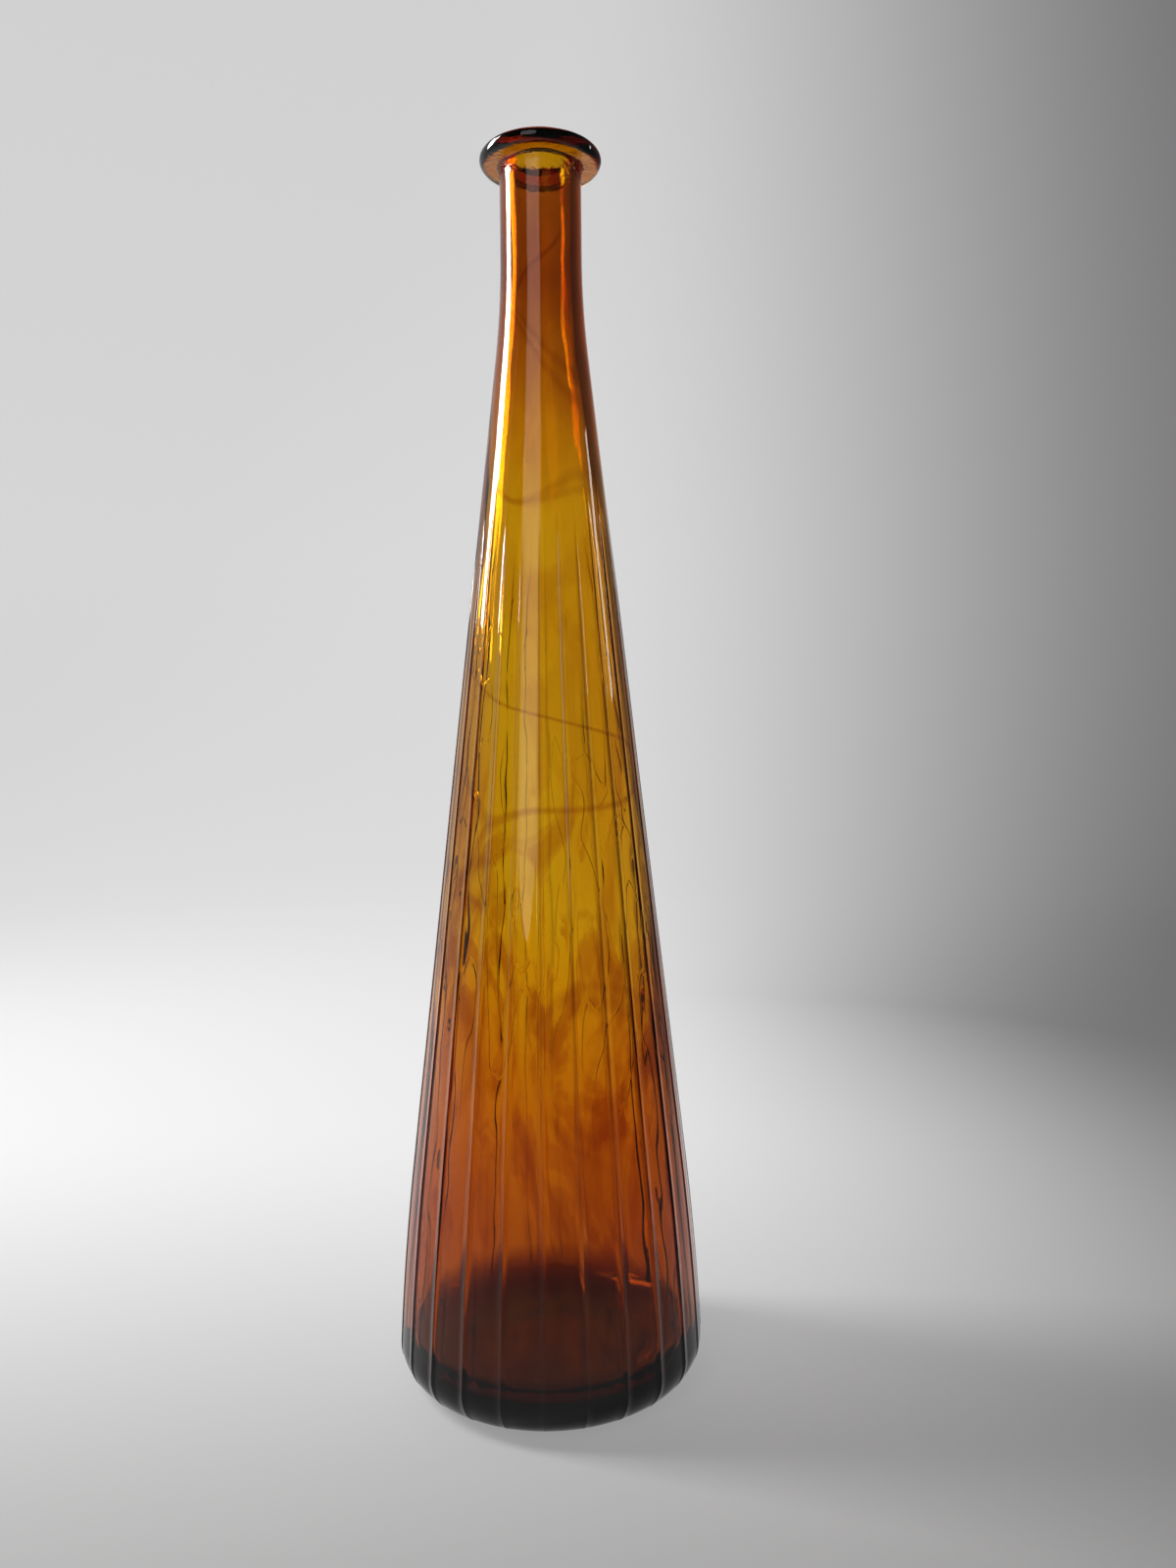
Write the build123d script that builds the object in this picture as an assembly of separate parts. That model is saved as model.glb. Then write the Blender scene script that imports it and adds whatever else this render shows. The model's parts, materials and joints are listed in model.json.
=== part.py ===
from build123d import *
import math
import os

# A tall conical bottle in one piece of mould-blown glass: a wide flat lip, a straight neck,
# a long cone that widens to a rounded heel, fine upright ribs from the mould, and a thick
# base with a shallow punt. Millimetres, +Z up. The origin is on the floor under the centre
# of the base, and the bottle's axis is Z.

# Overall size
total_height = 560.0
foot_diameter = 142.6        # where the skirt would meet the floor, before the heel is rounded

# Lip
lip_diameter = 55.2
lip_thickness = 6.5
lip_edge_radius = 0.48 * lip_thickness
lip_root_fillet = 1.8        # between the lip's underside and the neck

# Neck
neck_diameter = 37.2
neck_length = 62.0           # from the lip's underside to where the cone starts
mouth_bore = 27.6
mouth_edge_radius = 2.6
shoulder_blend = 390.0       # large radius that eases the neck into the cone

# Cone and skirt, outside
skirt_height = 120.0         # below this the straight cone bends gently inwards
skirt_tuck = 3.8             # how far inside the straight cone it would reach the floor
heel_radius = 17.0

# Glass thickness below the neck, measured square to the axis
upper_height = 400.0
upper_wall = 2.9             # the neck's thick wall has thinned to this
lower_height = 200.0
lower_wall = 2.7             # from here down the wall thickens again
foot_wall = 4.6
cavity_blend = 600.0         # eases the straight stretches of the cavity's side together

# Base
base_thickness = 10.0        # at the centre, above the punt
punt_depth = 4.5
bearing_ring_width = 5.0     # flat ring that the bottle stands on
cavity_heel_radius = 15.0
cavity_floor_rise = 3.0      # the cavity's floor is domed up over the punt

# Mould ribs
rib_count = 24
rib_height = 0.35            # how far a rib stands proud of the wall
rib_width = 1.3
rib_top = 362.0              # a rib has its full height up to here
rib_fade = 56.0              # length over which it then sinks out of sight
rib_fade_depth = 0.1         # how far under the surface it ends
rib_heel_end = 75.0          # degrees that a rib follows the heel round, below the level
rib_turn = -2.9              # degrees that the whole set of ribs is turned by

# Worked out from the sizes above
lip_radius = lip_diameter / 2
lip_underside = total_height - lip_thickness
neck_base = lip_underside - neck_length
neck_radius = neck_diameter / 2
bore_radius = mouth_bore / 2
foot_radius = foot_diameter / 2
floor_top = base_thickness + punt_depth

# The outside's straight cone, as a slope and as unit vectors along and square to it
cone_slope = (foot_radius + skirt_tuck - neck_radius) / neck_base
cone_down = Vector(cone_slope, -1).normalized()
cone_out = Vector(1, cone_slope).normalized()

# The skirt is an arc that is tangent to the cone and would reach the floor at foot_radius.
cone_foot = Vector(neck_radius + (neck_base - skirt_height) * cone_slope, skirt_height)
floor_corner = Vector(foot_radius, 0)
skirt_chord = floor_corner - cone_foot
skirt_bend = -skirt_chord.length**2 / (2 * skirt_chord.dot(cone_out))
skirt_centre = cone_foot - cone_out * skirt_bend

# The heel is an arc that is tangent to the skirt's arc and to the floor.
heel_reach = math.sqrt((skirt_bend - heel_radius) ** 2 - (heel_radius - skirt_centre.Y) ** 2)
heel_centre = Vector(skirt_centre.X + heel_reach, heel_radius)
ring_outer_radius = heel_centre.X
ring_inner_radius = ring_outer_radius - bearing_ring_width


def cone_radius(height):
    """Outside radius of the straight cone at a height."""
    return neck_radius + (neck_base - height) * cone_slope


def round_corners(outline, corners):
    """A half outline with a fillet of the given radius at each (point, radius)."""
    for point, radius in corners:
        corner = outline.vertices().sort_by_distance(Vector(*point))[0]
        outline = fillet(corner, radius)
    return outline


def turn_about_axis(outline):
    """Solid of revolution of a half outline, drawn with X as radius and Y as height."""
    return revolve(Plane.XZ * outline, axis=Axis.Z)


def outside():
    """The whole outside of the bottle, as if it were solid glass."""
    punt_top = (0, punt_depth)
    ring_inner = (ring_inner_radius, 0)
    cone_top = (neck_radius, neck_base)
    lip_root = (neck_radius, lip_underside)
    lip_low = (lip_radius, lip_underside)
    lip_high = (lip_radius, total_height)
    lip_centre = (0, total_height)

    outline = make_face(
        [
            TangentArc(punt_top, ring_inner, tangent=(1, 0)),
            Line(ring_inner, floor_corner),
            TangentArc(cone_foot, floor_corner, tangent=cone_down),
            Polyline(cone_foot, cone_top, lip_root, lip_low, lip_high, lip_centre, punt_top),
        ]
    )
    corners = [
        (floor_corner, heel_radius),
        (cone_top, shoulder_blend),
        (lip_root, lip_root_fillet),
        (lip_low, lip_edge_radius),
        (lip_high, lip_edge_radius),
    ]
    return turn_about_axis(round_corners(outline, corners))


def cavity():
    """The space inside, from the floor of the bottle up through the mouth."""
    floor_centre = (0, floor_top)
    floor_edge = (foot_radius - foot_wall, floor_top - cavity_floor_rise)
    lower_side = (cone_radius(lower_height) - lower_wall, lower_height)
    upper_side = (cone_radius(upper_height) - upper_wall, upper_height)
    neck_bottom = (bore_radius, neck_base)
    mouth = (bore_radius, total_height)
    mouth_centre = (0, total_height)

    outline = make_face(
        [
            TangentArc(floor_centre, floor_edge, tangent=(1, 0)),
            Polyline(floor_edge, lower_side, upper_side, neck_bottom),
            Polyline(neck_bottom, mouth, mouth_centre, floor_centre),
        ]
    )
    corners = [
        (floor_edge, cavity_heel_radius),
        (lower_side, cavity_blend),
        (upper_side, cavity_blend),
        (neck_bottom, shoulder_blend),
    ]
    return turn_about_axis(round_corners(outline, corners))


def mouth_rounding():
    """The sharp ring of glass that is taken off the bore's top edge to round it."""
    corner = (bore_radius, total_height)
    on_lip = (bore_radius + mouth_edge_radius, total_height)
    in_bore = (bore_radius, total_height - mouth_edge_radius)
    outline = make_face(
        [
            Polyline(on_lip, corner, in_bore),
            TangentArc(in_bore, on_lip, tangent=(0, 1)),
        ]
    )
    return turn_about_axis(outline)


def rib():
    """One rib: an upright plate, buried in the wall but for its outer edge."""
    shoulder = Vector(cone_radius(rib_top), rib_top) + cone_out * rib_height
    buried_end = shoulder - cone_down * rib_fade - cone_out * (rib_height + rib_fade_depth)
    foot = cone_foot + cone_out * rib_height
    cone_tilt = math.degrees(math.atan2(cone_out.Y, cone_out.X))
    join = heel_centre - skirt_centre
    join_tilt = math.degrees(math.atan2(join.Y, join.X))
    heel_turn = -rib_heel_end - join_tilt

    around_heel = CenterArc(heel_centre, heel_radius + rib_height, join_tilt, heel_turn)
    outline = make_face(
        [
            TangentArc(shoulder, buried_end, tangent=-cone_down),
            Line(shoulder, foot),
            CenterArc(skirt_centre, skirt_bend + rib_height, cone_tilt, join_tilt - cone_tilt),
            around_heel,
            Polyline(around_heel @ 1, heel_centre, buried_end),
        ]
    )
    return Plane.XZ * extrude(outline, rib_width / 2, both=True)


def glass_body():
    """The bottle: the outside with its ribs, less the cavity and the mouth's sharp edge."""
    first_rib = rib()
    ribs = [Rot(0, 0, rib_turn + i * 360 / rib_count) * first_rib for i in range(rib_count)]
    body = outside() + ribs
    return body - cavity() - mouth_rounding()


os.makedirs("parts", exist_ok=True)
glass = glass_body()
export_step(glass, "parts/glass_body.step")
print("glass, cm3:", round(glass.volume / 1000))
print("cavity, cm3:", round(cavity().volume / 1000))
print("bearing ring, mm:", round(ring_inner_radius, 2), "to", round(ring_outer_radius, 2))
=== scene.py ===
# %% [markdown]
# # A tall bottle of amber glass
# The bottle is one piece of glass. It was blown into a mould that left 24 fine upright ribs,
# and its lip was pressed flat and wide by hand while the neck was still soft. The lesson builds
# its wall from one outline and one rule, puts small bubbles in it, and gives it a glass that
# is golden where the wall is thin and nearly black where it is thick.

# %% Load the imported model
import json
import math

import bmesh
import bpy
from mathutils import Matrix, Vector


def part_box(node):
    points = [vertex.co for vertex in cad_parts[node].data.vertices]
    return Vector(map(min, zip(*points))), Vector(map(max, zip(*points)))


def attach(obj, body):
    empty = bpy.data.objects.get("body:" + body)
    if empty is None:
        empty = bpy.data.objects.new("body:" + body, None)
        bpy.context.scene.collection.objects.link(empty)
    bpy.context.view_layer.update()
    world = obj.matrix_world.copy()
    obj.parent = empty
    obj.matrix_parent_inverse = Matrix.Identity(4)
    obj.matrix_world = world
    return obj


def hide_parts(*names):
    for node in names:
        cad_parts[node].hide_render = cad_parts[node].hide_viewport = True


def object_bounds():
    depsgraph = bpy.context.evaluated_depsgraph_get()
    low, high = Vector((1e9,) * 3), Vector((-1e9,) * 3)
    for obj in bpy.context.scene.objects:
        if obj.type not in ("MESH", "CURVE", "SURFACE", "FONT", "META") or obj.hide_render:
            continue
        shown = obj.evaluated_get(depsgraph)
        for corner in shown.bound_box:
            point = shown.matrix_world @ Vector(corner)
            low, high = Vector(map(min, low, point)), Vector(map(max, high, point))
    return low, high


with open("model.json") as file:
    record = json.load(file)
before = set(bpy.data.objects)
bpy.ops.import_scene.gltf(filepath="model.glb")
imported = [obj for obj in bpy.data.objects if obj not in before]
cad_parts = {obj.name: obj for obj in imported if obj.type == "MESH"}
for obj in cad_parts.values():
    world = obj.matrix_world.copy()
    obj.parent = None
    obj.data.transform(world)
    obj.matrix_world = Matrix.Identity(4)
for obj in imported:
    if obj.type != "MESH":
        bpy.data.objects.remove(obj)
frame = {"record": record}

cad_low, cad_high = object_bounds()
cad_low, cad_high = cad_low.copy(), cad_high.copy()
print("CAD box, m:", [round(v, 4) for v in (*cad_low, *cad_high)])

# %% [markdown]
# ## Sizes
# A bottle's sizes are few: the height, the widths of the foot, neck, bore and lip, and how thick
# the glass is at a few heights. Everything else is worked out from them. The height and the
# bore come from the model that was packed, so that the two can't drift apart; the others
# are written once, in metres.

# %% Sizes of the bottle
mm = 0.001
mouth = next(m for m in frame["record"]["mounts"] if m["name"] == "mouth")

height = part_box("glass_body")[1][2]
bore_radius = mouth["dims"]["r_mm"] * mm
foot_radius = 71.3 * mm
neck_radius = 18.6 * mm
lip_radius = 27.6 * mm
lip_thickness = 6.5 * mm
neck_length = 62.0 * mm
skirt_tuck = 3.8 * mm
skirt_height = 120.0 * mm
base_thickness = 10.0 * mm
punt_depth = 4.5 * mm
punt_flat = 26 * mm
ring_inner = 48.3 * mm

lip_underside = height - lip_thickness
neck_base = lip_underside - neck_length
floor_top = base_thickness + punt_depth
cone_slope = (foot_radius + skirt_tuck - neck_radius) / neck_base


def cone_radius(z):
    """Outside radius of the straight cone at a height."""
    return neck_radius + (neck_base - z) * cone_slope


print("height", height, "bore", bore_radius, "cone slope", round(cone_slope, 4))

# %% How thick the glass is
foot_wall = 4.6 * mm
lower_wall, lower_height = 2.7 * mm, 0.200
upper_wall, upper_height = 2.9 * mm, 0.400
floor_side = foot_radius - foot_wall
lower_side = (cone_radius(lower_height) - lower_wall, lower_height)
upper_side = (cone_radius(upper_height) - upper_wall, upper_height)


def cavity_radius(z):
    """Inside radius at a height, by straight runs from the floor to the neck."""
    spots = [(floor_top, floor_side), lower_side[::-1], upper_side[::-1], (neck_base, bore_radius)]
    for (z0, r0), (z1, r1) in zip(spots, spots[1:]):
        if z <= z1:
            return r0 + (r1 - r0) * (z - z0) / (z1 - z0)
    return bore_radius


print("wall in the neck, mm:", round((neck_radius - bore_radius) / mm, 2))

# %% [markdown]
# ## The outline
# Cut a bottle in half from top to bottom and the cut shows one long line: across the
# punt, round the heel, up the cone and neck, over the lip, and down the inside to the floor.
# A curve object could draw it by hand, but then no size could be changed afterwards. The line
# is a few straight runs with rounded corners, so it is written as corners, each with the
# radius of its rounding and the spacing of points on the run that leads to it.

# %% Round the corners of a line
def corner_arc(before, here, after, rounding, spacing, arc_step=math.radians(9)):
    """Points round a corner, from where the arc leaves the first run to the second run."""
    back = (before - here).normalized()
    ahead = (after - here).normalized()
    half = back.angle(ahead) / 2
    centre = here + (back + ahead).normalized() * rounding / math.sin(half)
    first = here + back * rounding / math.tan(half)
    swing = math.pi - 2 * half
    count = max(3, math.ceil(swing / arc_step), round(rounding * swing / spacing))
    turn = swing if (first - centre).cross(here - centre) > 0 else -swing
    x, y = first - centre
    arc = []
    for k in range(count + 1):
        cosine, sine = math.cos(turn * k / count), math.sin(turn * k / count)
        arc.append(centre + Vector((x * cosine - y * sine, x * sine + y * cosine)))
    return first, arc[1:]


def rounded_line(corners):
    """Points along a line through corners of (radius, height, rounding, spacing)."""
    spots = [Vector(c[:2]) for c in corners]
    points = [spots[0]]
    for i in range(1, len(corners)):
        rounding, spacing = corners[i][2:]
        end, arc = spots[i], []
        if rounding > 0:
            end, arc = corner_arc(spots[i - 1], spots[i], spots[i + 1], rounding, spacing)
        start = points[-1]
        steps = max(1, round((end - start).length / spacing))
        points += [start.lerp(end, k / steps) for k in range(1, steps + 1)]
        points += arc
    return points


# %% The whole outline, from the punt round to the floor inside
punt_rounding = 120 * mm
ring_rounding = 3 * mm
heel_rounding = 17 * mm
skirt_rounding = 1.3
shoulder_rounding = 0.39
junction_rounding = 1.8 * mm
lip_rounding = 3.12 * mm
mouth_rounding = 2.6 * mm
wall_rounding = 0.6
floor_rounding = 15 * mm
floor_drop = 3 * mm

# The skirt is the low part of the cone, which bends in to the foot. Its corner lies on the
# straight cone's line, as far from the skirt's top as from the foot.
skirt_top = Vector((cone_radius(skirt_height), skirt_height))
skirt_chord = Vector((foot_radius, 0)) - skirt_top
cone_down = Vector((cone_slope, -1)).normalized()
skirt_corner = skirt_top + cone_down * skirt_chord.length_squared / (2 * skirt_chord.dot(cone_down))

outside_corners = [
    (0, punt_depth, 0, 1),
    (punt_flat, punt_depth, punt_rounding, 5 * mm),
    (ring_inner, 0, ring_rounding, 5 * mm),
    (foot_radius, 0, heel_rounding, 4 * mm),
    (*skirt_corner, skirt_rounding, 6 * mm),
    (neck_radius, neck_base, shoulder_rounding, 6 * mm),
    (neck_radius, lip_underside, junction_rounding, 6 * mm),
    (lip_radius, lip_underside, lip_rounding, 2 * mm),
]
inside_corners = [
    (lip_radius, height, lip_rounding, 2 * mm),
    (bore_radius, height, mouth_rounding, 2.5 * mm),
    (bore_radius, neck_base, shoulder_rounding, 4 * mm),
    (*upper_side, wall_rounding, 4 * mm),
    (*lower_side, wall_rounding, 4 * mm),
    (floor_side, floor_top - floor_drop, floor_rounding, 4 * mm),
    (punt_flat, floor_top, punt_rounding, 4 * mm),
    (0, floor_top, 0, 5 * mm),
]
outline = rounded_line(outside_corners + inside_corners)
print("points on the outline:", len(outline))

# %% [markdown]
# ## What each point of the outline knows
# The rule that makes the wall needs more than a place. Each point is given the direction that
# faces out of the glass, how far it belongs to the inside, how strong the ribs are there,
# how much the wall may waver, and how thick the glass is. A node tree could work these out
# from heights alone, but they are easier to read in Python, so they are stored as named
# attributes on a mesh of loose points, where Geometry Nodes can find them.

# %% Facts for each point
rib_top = 0.345
rib_fade = 0.065
heel_turn = (-0.45, -0.05)
under_turn = (-0.97, -0.80)
still_below, free_above = 2 * mm, 30 * mm


def smooth_step(low, high, value):
    """0 below low, 1 above high and an even curve between them."""
    t = min(1, max(0, (value - low) / (high - low)))
    return t * t * (3 - 2 * t)


def rib_strength(outward, z):
    """Full on the cone, fading towards the neck, halved on the heel and gone underneath."""
    under = 0.5 * smooth_step(*under_turn, outward.y) + 0.5 * smooth_step(*heel_turn, outward.y)
    return under * (1 - smooth_step(rib_top, rib_top + rib_fade, z))


mouth_row = max(range(len(outline)), key=lambda i: outline[i].y + outline[i].x * 1e-4)
facts = {"outward": [], "inside": [], "rib_share": [], "sway": [], "wall": []}
for i, spot in enumerate(outline):
    along = outline[min(i + 1, len(outline) - 1)] - outline[max(i - 1, 0)]
    outward = Vector((along.y, -along.x)).normalized()
    within = i > mouth_row
    on_lip = smooth_step(lip_underside - 4 * mm, lip_underside, spot.y)
    facts["outward"].append((outward.x, 0, outward.y))
    facts["inside"].append(within * (1 - smooth_step(neck_base + 30 * mm, height, spot.y)))
    facts["rib_share"].append(0.0 if within else rib_strength(outward, spot.y))
    facts["sway"].append(smooth_step(still_below, free_above, spot.y) * (1 - on_lip))
    facts["wall"].append(cone_radius(spot.y) - cavity_radius(spot.y))

cone_rows = [i for i in range(mouth_row) if 0.06 < outline[i].y < neck_base]
print("rows on the outside of the cone:", cone_rows[0], "to", cone_rows[-1])

# %% Store the outline as a mesh of points with attributes
points = bpy.data.meshes.new("outline_points")
points.from_pydata([(p.x, 0, p.y) for p in outline], [], [])
for name, values in facts.items():
    if name == "outward":
        layer = points.attributes.new(name, "FLOAT_VECTOR", "POINT")
        layer.data.foreach_set("vector", [v for value in values for v in value])
    else:
        layer = points.attributes.new(name, "FLOAT", "POINT")
        layer.data.foreach_set("value", values)
print("attributes on the outline:", ", ".join(facts))

# %% [markdown]
# ## Node trees as Python
# A node tree is arithmetic drawn as boxes. Written one box at a time it is long and hard to
# follow, so a small class wraps a socket and makes + - * / add the Math nodes. Any other node
# comes from one method, `node`: its type, its settings, then the values or links of its
# sockets. Both serve Geometry Nodes and shaders, because both use the same Math node.

# %% A socket that can be reckoned with
class Wire:
    """An output socket in a node tree. Operators on it add Math nodes to the tree."""

    def __init__(self, tree, socket):
        self.tree, self.socket = tree, socket

    def reckon(self, operation, *values):
        """A Math node fed with the values, in their order."""
        return self.tree.node("ShaderNodeMath", {"operation": operation}, dict(enumerate(values)))

    def math(self, operation, *others):
        """A Math node fed with this socket first."""
        return self.reckon(operation, self, *others)

    def also(self, name):
        """Another output of the same node."""
        return Wire(self.tree, self.socket.node.outputs[name])

    def __add__(self, other):
        return self.math("ADD", other)

    def __sub__(self, other):
        return self.math("SUBTRACT", other)

    def __rsub__(self, other):
        return self.reckon("SUBTRACT", other, self)

    def __mul__(self, other):
        return self.math("MULTIPLY", other)

    def __truediv__(self, other):
        return self.math("DIVIDE", other)

    def __rtruediv__(self, other):
        return self.reckon("DIVIDE", other, self)

    def __pow__(self, other):
        return self.math("POWER", other)

    def __lt__(self, other):
        return self.math("LESS_THAN", other)

    __radd__ = __add__
    __rmul__ = __mul__


# %% A tree that adds any node
class Tree:
    """A node tree with one method that adds any node to it, and two mixes that are used often."""

    def __init__(self, group):
        self.group = group

    def node(self, kind, settings=None, sockets=None, output=0):
        """A node: its type, its settings, then a value, a wire or a list of wires for a socket."""
        made = self.group.nodes.new(kind)
        for name, value in (settings or {}).items():
            if name == "stops":
                fill_ramp(made.color_ramp, value)
            else:
                setattr(made, name, value)
        for name, value in (sockets or {}).items():
            if isinstance(value, (Wire, list)):
                for wire in value if isinstance(value, list) else [value]:
                    self.group.links.new(wire.socket, made.inputs[name])
            else:
                made.inputs[name].default_value = value
        return Wire(self, made.outputs[output]) if made.outputs else made

    def between(self, share, low, high):
        """A value that goes from low to high as share goes from 0 to 1."""
        return self.node("ShaderNodeMix", {"data_type": "FLOAT"}, {0: share, 2: low, 3: high})

    def ease(self, value, low, high):
        """0 below low, 1 above high and an even curve between them."""
        settings = {"interpolation_type": "SMOOTHSTEP"}
        return self.node("ShaderNodeMapRange", settings, {"Value": value, 1: low, 2: high})


def fill_ramp(ramp, stops):
    """Gives a colour ramp its stops, each a place from 0 to 1 and a colour."""
    while len(ramp.elements) < len(stops):
        ramp.elements.new(1)
    for stop, (place, shade) in zip(ramp.elements, stops):
        stop.position, stop.color = place, shade


# %% Named inputs for a Geometry Nodes tree
def new_tree(name, sizes):
    """An empty Geometry Nodes tree with a geometry input and a named input for each size."""
    tree = Tree(bpy.data.node_groups.new(name, "GeometryNodeTree"))
    face = tree.group.interface
    face.new_socket("Geometry", in_out="INPUT", socket_type="NodeSocketGeometry")
    face.new_socket("Geometry", in_out="OUTPUT", socket_type="NodeSocketGeometry")
    for label in sizes:
        face.new_socket(label, in_out="INPUT", socket_type="NodeSocketFloat")
    start = tree.group.nodes.new("NodeGroupInput")
    wires = {socket.name: Wire(tree, socket) for socket in start.outputs if socket.name}
    return tree, wires


def run_tree(name, tree, mesh, sizes):
    """Runs a tree on a mesh, with its inputs set by identifier, and keeps the result as a mesh."""
    holder = bpy.data.objects.new(name, mesh)
    bpy.context.scene.collection.objects.link(holder)
    modifier = holder.modifiers.new(name, "NODES")
    modifier.node_group = tree.group
    for item in tree.group.interface.items_tree:
        if item.in_out == "INPUT" and item.name in sizes:
            modifier[item.identifier] = float(sizes[item.name])
    graph = bpy.context.evaluated_depsgraph_get()
    result = holder.evaluated_get(graph)
    made = bpy.data.meshes.new_from_object(result, preserve_all_data_layers=True, depsgraph=graph)
    bpy.data.objects.remove(holder)
    piece = bpy.data.objects.new(name, made)
    bpy.context.scene.collection.objects.link(piece)
    print(name, "vertices", len(made.vertices), "faces", len(made.polygons))
    return piece


# %% [markdown]
# ## The wall as a rule
# The wall is a grid of points wrapped round the axis: each row of the grid is one point of the
# outline, and each column is one direction. A Screw modifier would turn the outline too, but
# with even columns, and it would need thousands of them to show a rib that is under a
# millimetre wide. Here seven columns crowd onto each rib and the rest span the gap to the
# next, and on the inside, where there are no ribs, they spread out evenly. Slow noise then
# makes the two faces waver, because blown glass is never quite even.

# %% Sizes of the ribs and of the waviness
wall_sizes = {
    "Rows": len(outline),
    "Ribs": 24,
    "Rib height": 0.26 * mm,
    "Rib half width": 0.42 * mm,
    "Rib turn": math.radians(-92.9),
    "Sway outside": 0.16 * mm,
    "Sway inside": 1.1 * mm,
    "Lip wobble": 0.9 * mm,
}
columns_on_rib = 7
columns_per_rib = 12
rib_squareness = 4
least_radius = 16 * mm
print("columns round the wall:", wall_sizes["Ribs"] * columns_per_rib)

# %% Read the outline inside the tree
def outline_value(tree, source, row, name=None):
    """What the outline's point at a row knows: its place, or a named attribute."""
    vector = name in (None, "outward")
    kind = "FLOAT_VECTOR" if vector else "FLOAT"
    if name is None:
        field = tree.node("GeometryNodeInputPosition")
    else:
        field = tree.node("GeometryNodeInputNamedAttribute", {"data_type": kind}, {"Name": name})
    sockets = {"Geometry": source, "Value": field, "Index": row}
    found = tree.node("GeometryNodeSampleIndex", {"data_type": kind, "clamp": True}, sockets)
    if not vector:
        return found
    x = tree.node("ShaderNodeSeparateXYZ", None, {0: found})
    return x, x.also("Z")


def slow_noise(tree, place, size, seed, detail=1.0):
    """Smooth noise between about -1 and 1 with lumps of a given size."""
    sockets = {"Vector": place, "W": seed, "Scale": 1 / size, "Detail": detail, "Roughness": 0.45}
    return (tree.node("ShaderNodeTexNoise", {"noise_dimensions": "4D"}, sockets) - 0.5) * 2.6


# %% Where each column stands
def wall_columns(tree, given, column, radius, inside):
    """Direction of each column, and how high up a rib's back it lies."""
    pitch = 2 * math.pi / given["Ribs"]
    rib = (column / columns_per_rib + 1e-4).math("FLOOR")
    slot = column - rib * columns_per_rib
    middle = (columns_on_rib - 1) / 2
    reach = given["Rib half width"] / radius.math("MAXIMUM", least_radius)
    across = (slot - middle) / middle
    on_rib = slot < columns_on_rib - 0.5
    gap = columns_per_rib - columns_on_rib + 1
    beyond = reach + (slot - (columns_on_rib - 1)) / gap * (pitch - reach * 2)
    crowded = tree.between(on_rib, beyond, across * reach) + rib * pitch
    even = (column - middle) / columns_per_rib * pitch
    angle = tree.between(inside, crowded, even) + given["Rib turn"]
    back = (1 - across ** rib_squareness).math("MAXIMUM", 0)
    return angle, back * on_rib


# %% How the wall wavers
upward_stretch = 0.38


def wall_sway(tree, given, cosine, sine, radius, level, inside, share):
    """How far each point wavers in or out, and how far the lip wobbles there."""
    # Lumps are long up the wall and short across it, as the glass was drawn out upwards.
    drawn = {0: radius * cosine, 1: radius * sine, 2: level * upward_stretch}
    place = tree.node("ShaderNodeCombineXYZ", None, drawn)
    slow = slow_noise(tree, place, 34 * mm, 3.0)
    quick = slow_noise(tree, place, 13 * mm, 8.0)
    sway_in = (slow * 0.75 + quick * 0.25) * given["Sway inside"]
    sway_out = slow_noise(tree, place, 45 * mm, 21.0) * given["Sway outside"]
    sway = tree.between(inside, sway_out, sway_in) * share
    lip_share = tree.ease(level, lip_underside - 3 * mm, lip_underside + 1 * mm) * (1 - inside)
    wobble = slow_noise(tree, place, 26 * mm, 40.0, 2.0) * given["Lip wobble"] * lip_share
    return sway, wobble


# %% The wall's tree
def wall_tree(sizes):
    """Geometry Nodes: the outline turned about the axis, ribbed, wavering and closed."""
    tree, given = new_tree("bottle_wall", sizes)
    columns = given["Ribs"] * columns_per_rib
    counts = {"Size X": 1, "Size Y": 1, "Vertices X": columns + 1, "Vertices Y": given["Rows"]}
    grid = tree.node("GeometryNodeMeshGrid", None, counts)
    flat = tree.node("ShaderNodeSeparateXYZ", None, {0: tree.node("GeometryNodeInputPosition")})
    column = ((flat + 0.5) * columns).math("ROUND")
    row = ((flat.also("Y") + 0.5) * (given["Rows"] - 1)).math("ROUND")

    source = given["Geometry"]
    radius, level = outline_value(tree, source, row)
    out_r, out_z = outline_value(tree, source, row, "outward")
    inside = outline_value(tree, source, row, "inside")
    sway_share = outline_value(tree, source, row, "sway")
    rib_share = outline_value(tree, source, row, "rib_share")
    angle, back = wall_columns(tree, given, column, radius, inside)
    cosine, sine = angle.math("COSINE"), angle.math("SINE")

    sway, wobble = wall_sway(tree, given, cosine, sine, radius, level, inside, sway_share)
    lift = back * rib_share * given["Rib height"] + sway
    bottle_r = radius + out_r * lift + out_r.math("ABSOLUTE") * wobble * 0.5
    bottle_z = level + out_z * lift - wobble.math("ABSOLUTE") * 0.35
    spot = {0: bottle_r * cosine, 1: bottle_r * sine, 2: bottle_z}
    position = tree.node("ShaderNodeCombineXYZ", None, spot)

    kept = tree.node("GeometryNodeStoreNamedAttribute", {"data_type": "FLOAT", "domain": "POINT"},
                     {"Geometry": grid, "Name": "inside", "Value": inside})
    moved = tree.node("GeometryNodeSetPosition", None, {"Geometry": kept, "Position": position})
    closed = tree.node("GeometryNodeMergeByDistance", None, {"Geometry": moved, "Distance": 1e-6})
    return tree, given, closed


# %% [markdown]
# ## Seeds
# Small bubbles, which glassmakers call seeds, are trapped in hand-blown glass and are
# drawn out along the wall as it is blown. Dots in the material would be cheaper, but a real
# bubble bends light. So each is a tiny hollow inside the wall, and its faces point into the
# bubble. They are instances of one small sphere on random points of the wall, turned inside
# out and joined to it, with a fixed seed for every random draw.

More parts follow.
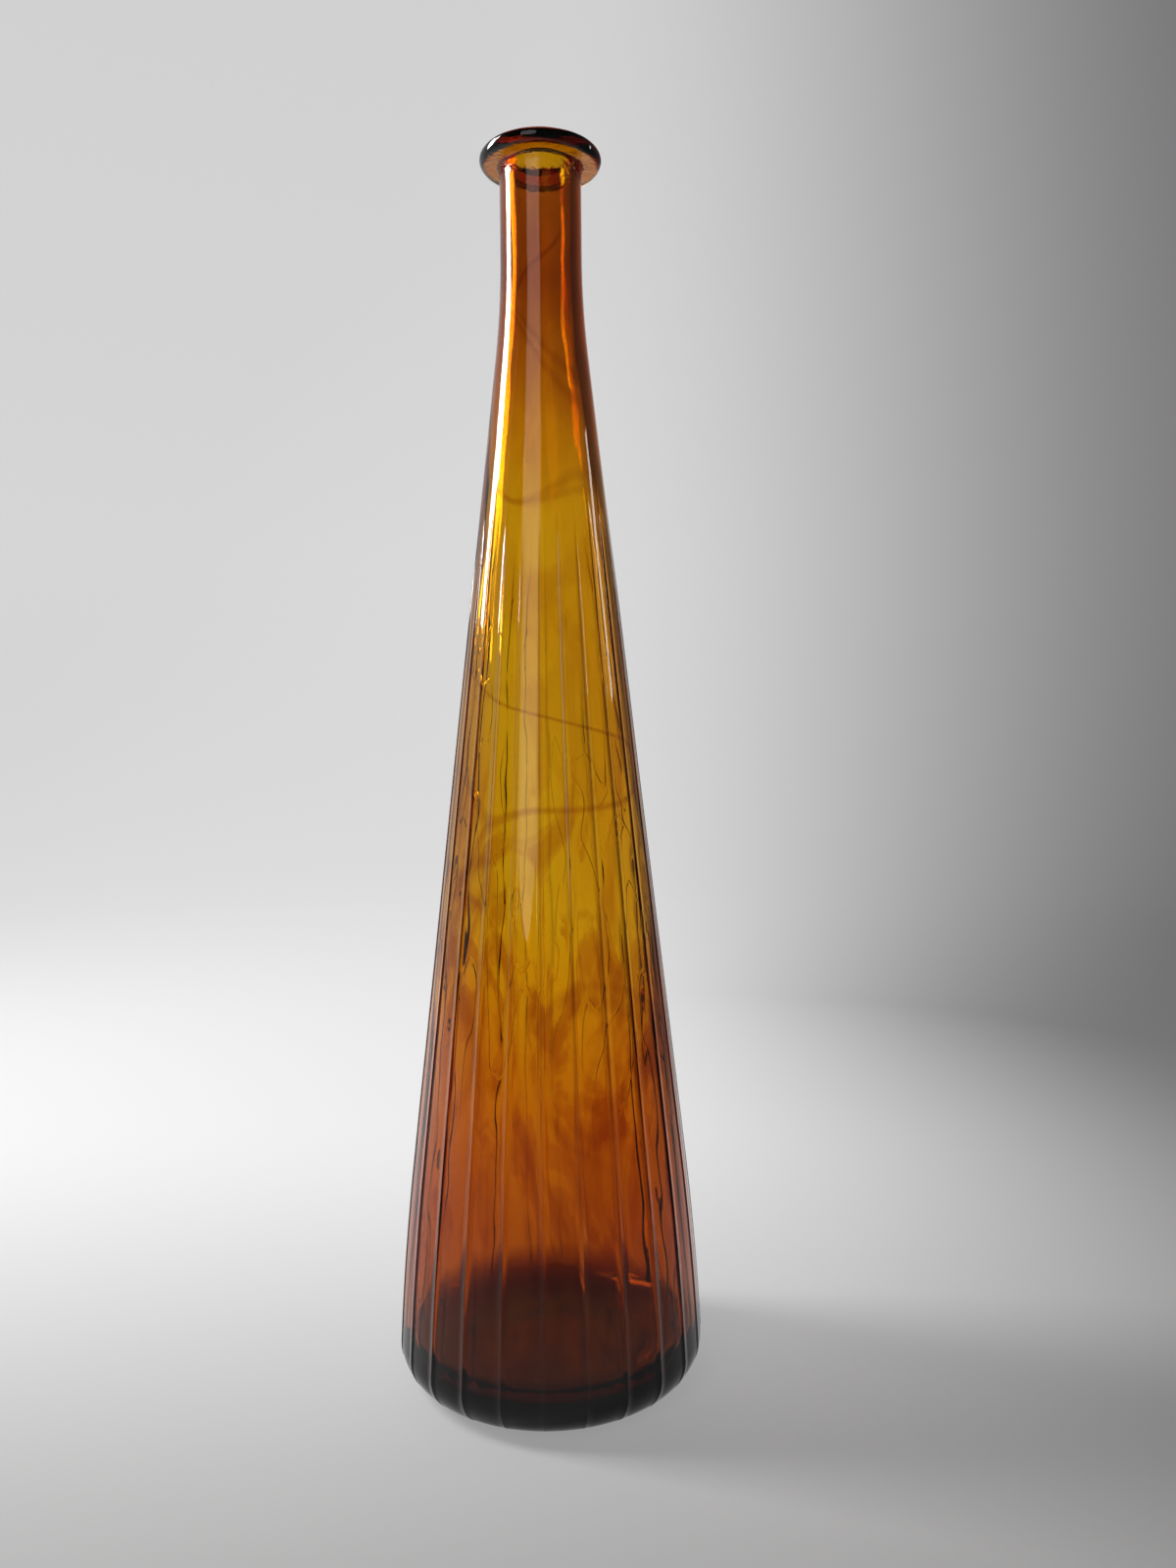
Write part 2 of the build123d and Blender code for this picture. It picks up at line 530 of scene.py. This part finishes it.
# %% Bubbles in the wall
seed_sizes = {"Bubbles": 90, "Smallest": 0.10 * mm, "Largest": 0.24 * mm}
seed_depths = (0.25, 0.40)
seed_stretch = (1.1, 3.2)
few_are_large = 2.5


def random_value(tree, low, high, seed):
    """A fixed random value for each point."""
    sockets = {2: low, 3: high, "Seed": seed}
    return tree.node("FunctionNodeRandomValue", {"data_type": "FLOAT"}, sockets, 1)


def seeds_in(tree, given):
    """Small stretched hollows inside the wall of the cone."""
    row = random_value(tree, cone_rows[0], cone_rows[-1], 1).math("ROUND")
    radius, level = outline_value(tree, given["Geometry"], row)
    wall = outline_value(tree, given["Geometry"], row, "wall")
    angle = random_value(tree, 0, 2 * math.pi, 2)
    shift = random_value(tree, -2.5 * mm, 2.5 * mm, 3)
    middle = radius - wall * random_value(tree, *seed_depths, 4) - shift * cone_slope
    spot = {0: middle * angle.math("COSINE"), 1: middle * angle.math("SINE"), 2: level + shift}
    position = tree.node("ShaderNodeCombineXYZ", None, spot)
    cloud = tree.node("GeometryNodePoints", None, {"Count": given["Bubbles"], "Position": position})
    ball = tree.node("GeometryNodeMeshIcoSphere", None, {"Radius": 1, "Subdivisions": 2})
    draw = random_value(tree, 0, 1, 5) ** few_are_large
    size = tree.between(draw, given["Smallest"], given["Largest"])
    stretch = {0: size, 1: size, 2: size * random_value(tree, *seed_stretch, 6)}
    scale = tree.node("ShaderNodeCombineXYZ", None, stretch)
    sockets = {"Points": cloud, "Instance": ball, "Scale": scale}
    placed = tree.node("GeometryNodeInstanceOnPoints", None, sockets)
    solid = tree.node("GeometryNodeRealizeInstances", None, {0: placed})
    return tree.node("GeometryNodeFlipFaces", None, {0: solid})


# %% [markdown]
# ## Amber glass
# Amber glass takes a little red, more green and nearly all blue out of the light, so much for
# each millimetre. That belongs to the volume: an even Volume Absorption makes a thin wall
# golden and a thick foot brown, from any side. The absorption is the same everywhere, so what
# else the bottle shows goes into the surface colour: a deeper amber low down, a browner neck,
# a base darkened nearly to black, partly for its thick glass and partly as painted shade, the
# bottle's own shadow seen through it, and clouds and thin strands where the glass melted
# unevenly. Chill wrinkles, where the inner face first touched air, are relief.

# %% How much light the glass takes
glass_ior = 1.52
glass_roughness = 0.012
absorbed_per_m = (48.0, 160.0, 950.0)
density_headroom = 1.02
# The lowest two stops darken the base nearly to black: partly its thick glass, partly painted
# shade, the bottle's own shadow seen through the base.
tints_and_base_shade = (
    (0.000, (0.08, 0.025, 0.008, 1)),
    (0.022, (0.18, 0.065, 0.015, 1)),
    (0.048, (0.86, 0.70, 0.12, 1)),
    (0.100, (0.94, 0.84, 0.18, 1)),
    (0.320, (0.98, 0.93, 0.35, 1)),
    (0.400, (1.00, 1.00, 1.00, 1)),
    (0.760, (1.00, 0.99, 0.95, 1)),
    (0.900, (0.73, 0.59, 0.36, 1)),
    (1.000, (0.84, 0.76, 0.60, 1)),
)
print("glass passes in 5 mm:", [round(math.exp(-a * 5 * mm), 3) for a in absorbed_per_m])


# %% Noise for shaders
def noise(tree, place, grain):
    """A noise texture at a place, with its scale, detail and distortion."""
    return tree.node("ShaderNodeTexNoise", None, {"Vector": place, **grain})


def drawn_out(tree, place, scale, turn=(0, 0, 0)):
    """The place squeezed and turned, so that a pattern on it is stretched."""
    sockets = {"Vector": place, "Scale": scale, "Rotation": turn}
    return tree.node("ShaderNodeMapping", None, sockets)


def stained(tree, share, colour, stain):
    """A colour multiplied by a stain, where the share is above 0."""
    settings = {"data_type": "RGBA", "blend_type": "MULTIPLY"}
    return tree.node("ShaderNodeMix", settings, {0: share, 6: colour, 7: stain}, 2)


# %% Tint, clouds and strands
drift_grain = {"Scale": 11, "Detail": 2.5, "Distortion": 1.2}
drift_reach = 0.34
cloud_grain = {"Scale": 21, "Detail": 3, "Distortion": 2.4}
cloud_edges = (0.51, 0.60)
cloud_tint = (0.70, 0.46, 0.22, 1)
cloud_low, cloud_high = 0.70, 0.20
strand_grain = {"Scale": 5.5, "Detail": 1, "Distortion": 0.9}
strand_edges = (0.001, 0.009)
strand_tint = (0.62, 0.40, 0.20, 1)
strand_strength = 0.55


def drifting_level(tree, place, height_in_glass):
    """Height as a share of the bottle's, with the edges of each zone drifting up and down."""
    level = height_in_glass / height
    drift = (noise(tree, place, drift_grain) - 0.5) * drift_reach
    return level + drift * tree.ease(level, 0.04, 0.22)


def glass_colour(tree, place, level):
    """The tint of each zone, nearly black in the base partly as painted shade, clouded low down and
    crossed by a few thin strands.
    """
    tint = tree.node("ShaderNodeValToRGB", {"stops": tints_and_base_shade}, {"Fac": level})
    clouds = noise(tree, drawn_out(tree, place, (1, 1, 0.4), (0.6, 0.3, 0)), cloud_grain)
    depth = tree.between(tree.ease(level, 0.36, 0.55), cloud_low, cloud_high)
    clouded = stained(tree, tree.ease(clouds, *cloud_edges) * depth, tint, cloud_tint)
    strands = noise(tree, drawn_out(tree, place, (1, 1, 0.8), (-0.7, 0.4, 0)), strand_grain)
    strand = 1 - tree.ease((strands - 0.5).math("ABSOLUTE"), *strand_edges)
    strand = strand * tree.ease(level, 0.12, 0.30) * strand_strength
    return stained(tree, strand, clouded, strand_tint)


# %% Wrinkles inside and tool marks under the lip
ripple_grain = {"Scale": 60, "Detail": 1.0, "Distortion": 0.9}
tear_grain = {"Scale": 330, "Detail": 2, "Distortion": 1.0}
crease_width = 0.014
crease_relief, ripple_relief, tear_relief = 0.8, 0.55, 1.6


def glass_relief(tree, place, height_in_glass, level):
    """Relief of chill wrinkles, of a faint ripple and of the torn junction under the lip."""
    inside = tree.node("ShaderNodeAttribute", {"attribute_name": "inside"}, None, "Fac")
    ripple = noise(tree, drawn_out(tree, place, (1, 1, 0.16)), ripple_grain)
    ridge = (ripple - 0.5).math("ABSOLUTE")
    chilled = tree.ease(level, 0.20, 0.30) * (1 - tree.ease(level, 0.50, 0.62))
    crease = (1 - tree.ease(ridge, 0.0, crease_width)) * inside * chilled
    tooled = tree.ease(height_in_glass, lip_underside - 9 * mm, lip_underside - 2 * mm)
    tooled = tooled * (1 - tree.ease(height_in_glass, lip_underside, lip_underside + 2 * mm))
    tears = noise(tree, place, tear_grain)
    return crease * crease_relief + ripple * ripple_relief + tears * tooled * tear_relief


# %% The glass material
def amber_glass():
    """Clear glass that is tinted by depth, stained in its colour and wrinkled in its faces."""
    material = bpy.data.materials.new("amber_glass")
    material.use_nodes = True
    material.node_tree.nodes.clear()
    tree = Tree(material.node_tree)
    place = tree.node("ShaderNodeTexCoord", None, None, "Object")
    height_in_glass = tree.node("ShaderNodeSeparateXYZ", None, {0: place}).also("Z")
    level = drifting_level(tree, place, height_in_glass)
    relief = glass_relief(tree, place, height_in_glass, level)
    bump = {"Strength": 0.5, "Distance": 0.5 * mm, "Height": relief}
    surface = tree.node("ShaderNodeBsdfPrincipled", None, {
        "Base Color": glass_colour(tree, place, level),
        "Normal": tree.node("ShaderNodeBump", None, bump),
        "Transmission Weight": 1.0,
        "IOR": glass_ior,
        "Roughness": glass_roughness,
    })
    # The node passes a colour and takes the rest, so much per metre: density x (1 - colour).
    density = max(absorbed_per_m) * density_headroom
    passed = tuple(1 - a / density for a in absorbed_per_m) + (1,)
    depth = tree.node("ShaderNodeVolumeAbsorption", None, {"Color": passed, "Density": density})
    tree.node("ShaderNodeOutputMaterial", None, {"Surface": surface, "Volume": depth})
    return material


glass = amber_glass()
print("nodes in the glass:", len(glass.node_tree.nodes))

# %% [markdown]
# ## Make the bottle
# The two parts of the tree, wall and seeds, are joined, shaded smooth and given the glass, and
# the result is kept as a plain mesh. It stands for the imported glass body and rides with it.

# %% Wall and bubbles together
all_sizes = {**wall_sizes, **seed_sizes}
tree, given, wall = wall_tree(all_sizes)
parts = [wall, seeds_in(tree, given)]
both = tree.node("GeometryNodeJoinGeometry", None, {"Geometry": parts})
smooth = tree.node("GeometryNodeSetShadeSmooth", None, {"Geometry": both})
real = tree.node("GeometryNodeRealizeInstances", None, {0: smooth})
dressed = tree.node("GeometryNodeSetMaterial", None, {"Geometry": real, "Material": glass})
tree.node("NodeGroupOutput", None, {0: dressed})

bottle = run_tree("bottle_glass", tree, points, all_sizes)
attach(bottle, "root")
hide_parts("glass_body")

# %% [markdown]
# ## Is it a solid?
# Glass only bends and colours light rightly when its mesh is closed and faces outwards. Each
# edge then has two faces, and the volume comes out above zero. The bubbles count as less
# than nothing, as they should.

# %% Check that the wall is closed and turned outwards
test = bmesh.new()
test.from_mesh(bottle.data)
open_edges = sum(1 for e in test.edges if len(e.link_faces) != 2)
print("open edges:", open_edges, "volume, cm3:", round(test.calc_volume(signed=True) * 1e6, 1))
print("triangles:", sum(len(f.verts) - 2 for f in test.faces))
test.free()

# %% [markdown]
# ## Studio
# A plain floor turns up into a wall all round, so that no edge shows behind the glass from
# any side. Glass shows what is round it. A floor and wall that are as light in front as
# behind would be mirrored in the glass as a grey haze. So the paint itself is grey, and
# it glows by itself, bright behind the bottle and dim in front of it and to its right.

# %% Floor and backdrop in one sheet
floor_gap = 0.2 * mm


def studio_cove(floor_radius=1.5, bend=0.7, top=2.8, sides=96, steps=14):
    """A round floor whose edge curves up into a wall, just under the bottle."""
    profile = [(floor_radius * 0.3, 0), (floor_radius, 0)]
    for k in range(1, steps + 1):
        a = math.pi / 2 * k / steps
        profile.append((floor_radius + bend * math.sin(a), bend * (1 - math.cos(a))))
    profile.append((floor_radius + bend, top))
    turns = [2 * math.pi * s / sides for s in range(sides)]
    verts = [(r * math.cos(a), r * math.sin(a), z) for r, z in profile for a in turns]
    centre = len(verts)
    verts.append((0, 0, 0))
    faces = [(centre, s, (s + 1) % sides) for s in range(sides)]
    for row in range(len(profile) - 1):
        for s in range(sides):
            a, b = row * sides + s, row * sides + (s + 1) % sides
            faces.append((a, a + sides, b + sides, b))
    mesh = bpy.data.meshes.new("studio_cove")
    mesh.from_pydata(verts, [], faces)
    mesh.shade_smooth()
    cove = bpy.data.objects.new("studio_cove", mesh)
    cove.location.z = -floor_gap
    bpy.context.scene.collection.objects.link(cove)
    return cove


cove = studio_cove()
print("faces in the cove:", len(cove.data.polygons))

# %% Paint that glows behind the bottle
backdrop_paint = (0.22, 0.22, 0.22, 1)
backdrop_roughness = 0.9
front_glow = (0.015, 0.015, 0.015, 1)
back_glow = (0.50, 0.50, 0.505, 1)
glow_core = 0.8
glow_depth = (-0.62, 0.44)
glow_side = (0.0, 0.75)
side_loss = 0.92


def lit_backdrop():
    """Grey paint that glows by direction from the middle: bright behind, dim in front and right."""
    paint = bpy.data.materials.new("lit_backdrop")
    paint.use_nodes = True
    paint.node_tree.nodes.clear()
    tree = Tree(paint.node_tree)
    place = tree.node("ShaderNodeTexCoord", None, None, "Object")
    across = tree.node("ShaderNodeSeparateXYZ", None, {0: place})
    away = across.also("Y")
    reach = ((across * across + away * away) ** 0.5).math("MAXIMUM", glow_core)
    to_side = tree.ease(across / reach, *glow_side) * side_loss
    share = tree.ease(away / reach, *glow_depth) * (1 - to_side)
    mix = {0: share, 6: front_glow, 7: back_glow}
    glow = tree.node("ShaderNodeMix", {"data_type": "RGBA"}, mix, 2)
    surface = tree.node("ShaderNodeBsdfPrincipled", None, {
        "Base Color": backdrop_paint,
        "Roughness": backdrop_roughness,
        "Emission Color": glow,
        "Emission Strength": 1.0,
    })
    tree.node("ShaderNodeOutputMaterial", None, {"Surface": surface})
    return paint


cove.data.materials.append(lit_backdrop())

# %% [markdown]
# ## Lamps
# A tall window to the left gives the long highlight on the neck and shoulder, a broad lamp in
# front lays a milky patch down the cone, and a small, weak one stands on the right.
# All are flat and soft. They are hidden from the camera, because they would stand in the
# picture when it is taken from another side, and they still show as highlights in the glass.

# %% Lamps and sky
def soft_lamp(name, place, aim_height, size, watts, colour=(1, 1, 1), shape="RECTANGLE"):
    """A flat soft lamp that faces the bottle's axis at a height."""
    lamp = bpy.data.lights.new(name, "AREA")
    lamp.shape = shape
    lamp.size, lamp.size_y = size
    lamp.energy, lamp.color = watts, colour
    holder = bpy.data.objects.new(name, lamp)
    holder.location = place
    holder.visible_camera = False
    holder.rotation_mode = "QUATERNION"
    ahead = Vector((0, 0, aim_height)) - Vector(place)
    holder.rotation_quaternion = ahead.to_track_quat("-Z", "Y")
    bpy.context.scene.collection.objects.link(holder)
    print(name, watts, "W, from the axis:", round(ahead.length, 2), "m")


warm_white = (1.0, 0.99, 0.97)
rose_white = (1.0, 0.96, 0.97)
soft_lamp("window_lamp", (-1.05, 0.24, 1.02), 0.40, (0.36, 0.9), 20, warm_white)
soft_lamp("front_lamp", (-0.50, -1.25, 0.98), 0.40, (0.85, 1.5), 4.4, rose_white, "ELLIPSE")
soft_lamp("right_lamp", (1.05, 0.20, 0.67), 0.35, (0.10, 0.36), 0.5)

sky_colour = (0.93, 0.95, 1.0, 1)
sky_strength = 0.06
world = bpy.data.worlds.new("soft_sky")
world.use_nodes = True
sky = world.node_tree.nodes["Background"]
sky.inputs["Color"].default_value = sky_colour
sky.inputs["Strength"].default_value = sky_strength
scene = bpy.context.scene
scene.world = world

# %% How the picture is developed
# A straight look through the cone crosses four faces of glass, and light that is caught in a
# wall or in the base meets many more, so it may bounce often.
glass_bounces = 24
scene.view_settings.view_transform = "Standard"
scene.view_settings.look = "Medium High Contrast"
scene.cycles.max_bounces = glass_bounces
scene.cycles.transmission_bounces = glass_bounces
print("look:", scene.view_settings.look)

# %% [markdown]
# ## Camera
# The bottle is seen from half a metre away with a short lens, from a little above the middle of
# its height. That is why the lip is seen from below and the heel from above. The camera is
# held half a degree off level, so the bottle seems to lean to the left.

# %% Camera
eye = Vector((0, -0.548, 0.298))
pitch, yaw, roll = math.radians(-2.55), math.radians(-2.03), math.radians(-0.47)
level_view = math.pi / 2
camera = bpy.data.cameras.new("camera")
camera.sensor_width = 36
camera.lens = 27.05
camera.clip_start = 0.01
viewer = bpy.data.objects.new("camera", camera)
viewer.rotation_mode = "QUATERNION"
aim = Matrix.Rotation(yaw, 3, "Z") @ Matrix.Rotation(level_view + pitch, 3, "X")
turn = aim @ Matrix.Rotation(roll, 3, "Z")
viewer.rotation_quaternion = turn.to_quaternion()
viewer.location = eye
scene.collection.objects.link(viewer)
scene.camera = viewer
print("camera at", [round(v, 3) for v in eye], "lens", round(camera.lens, 2), "mm")
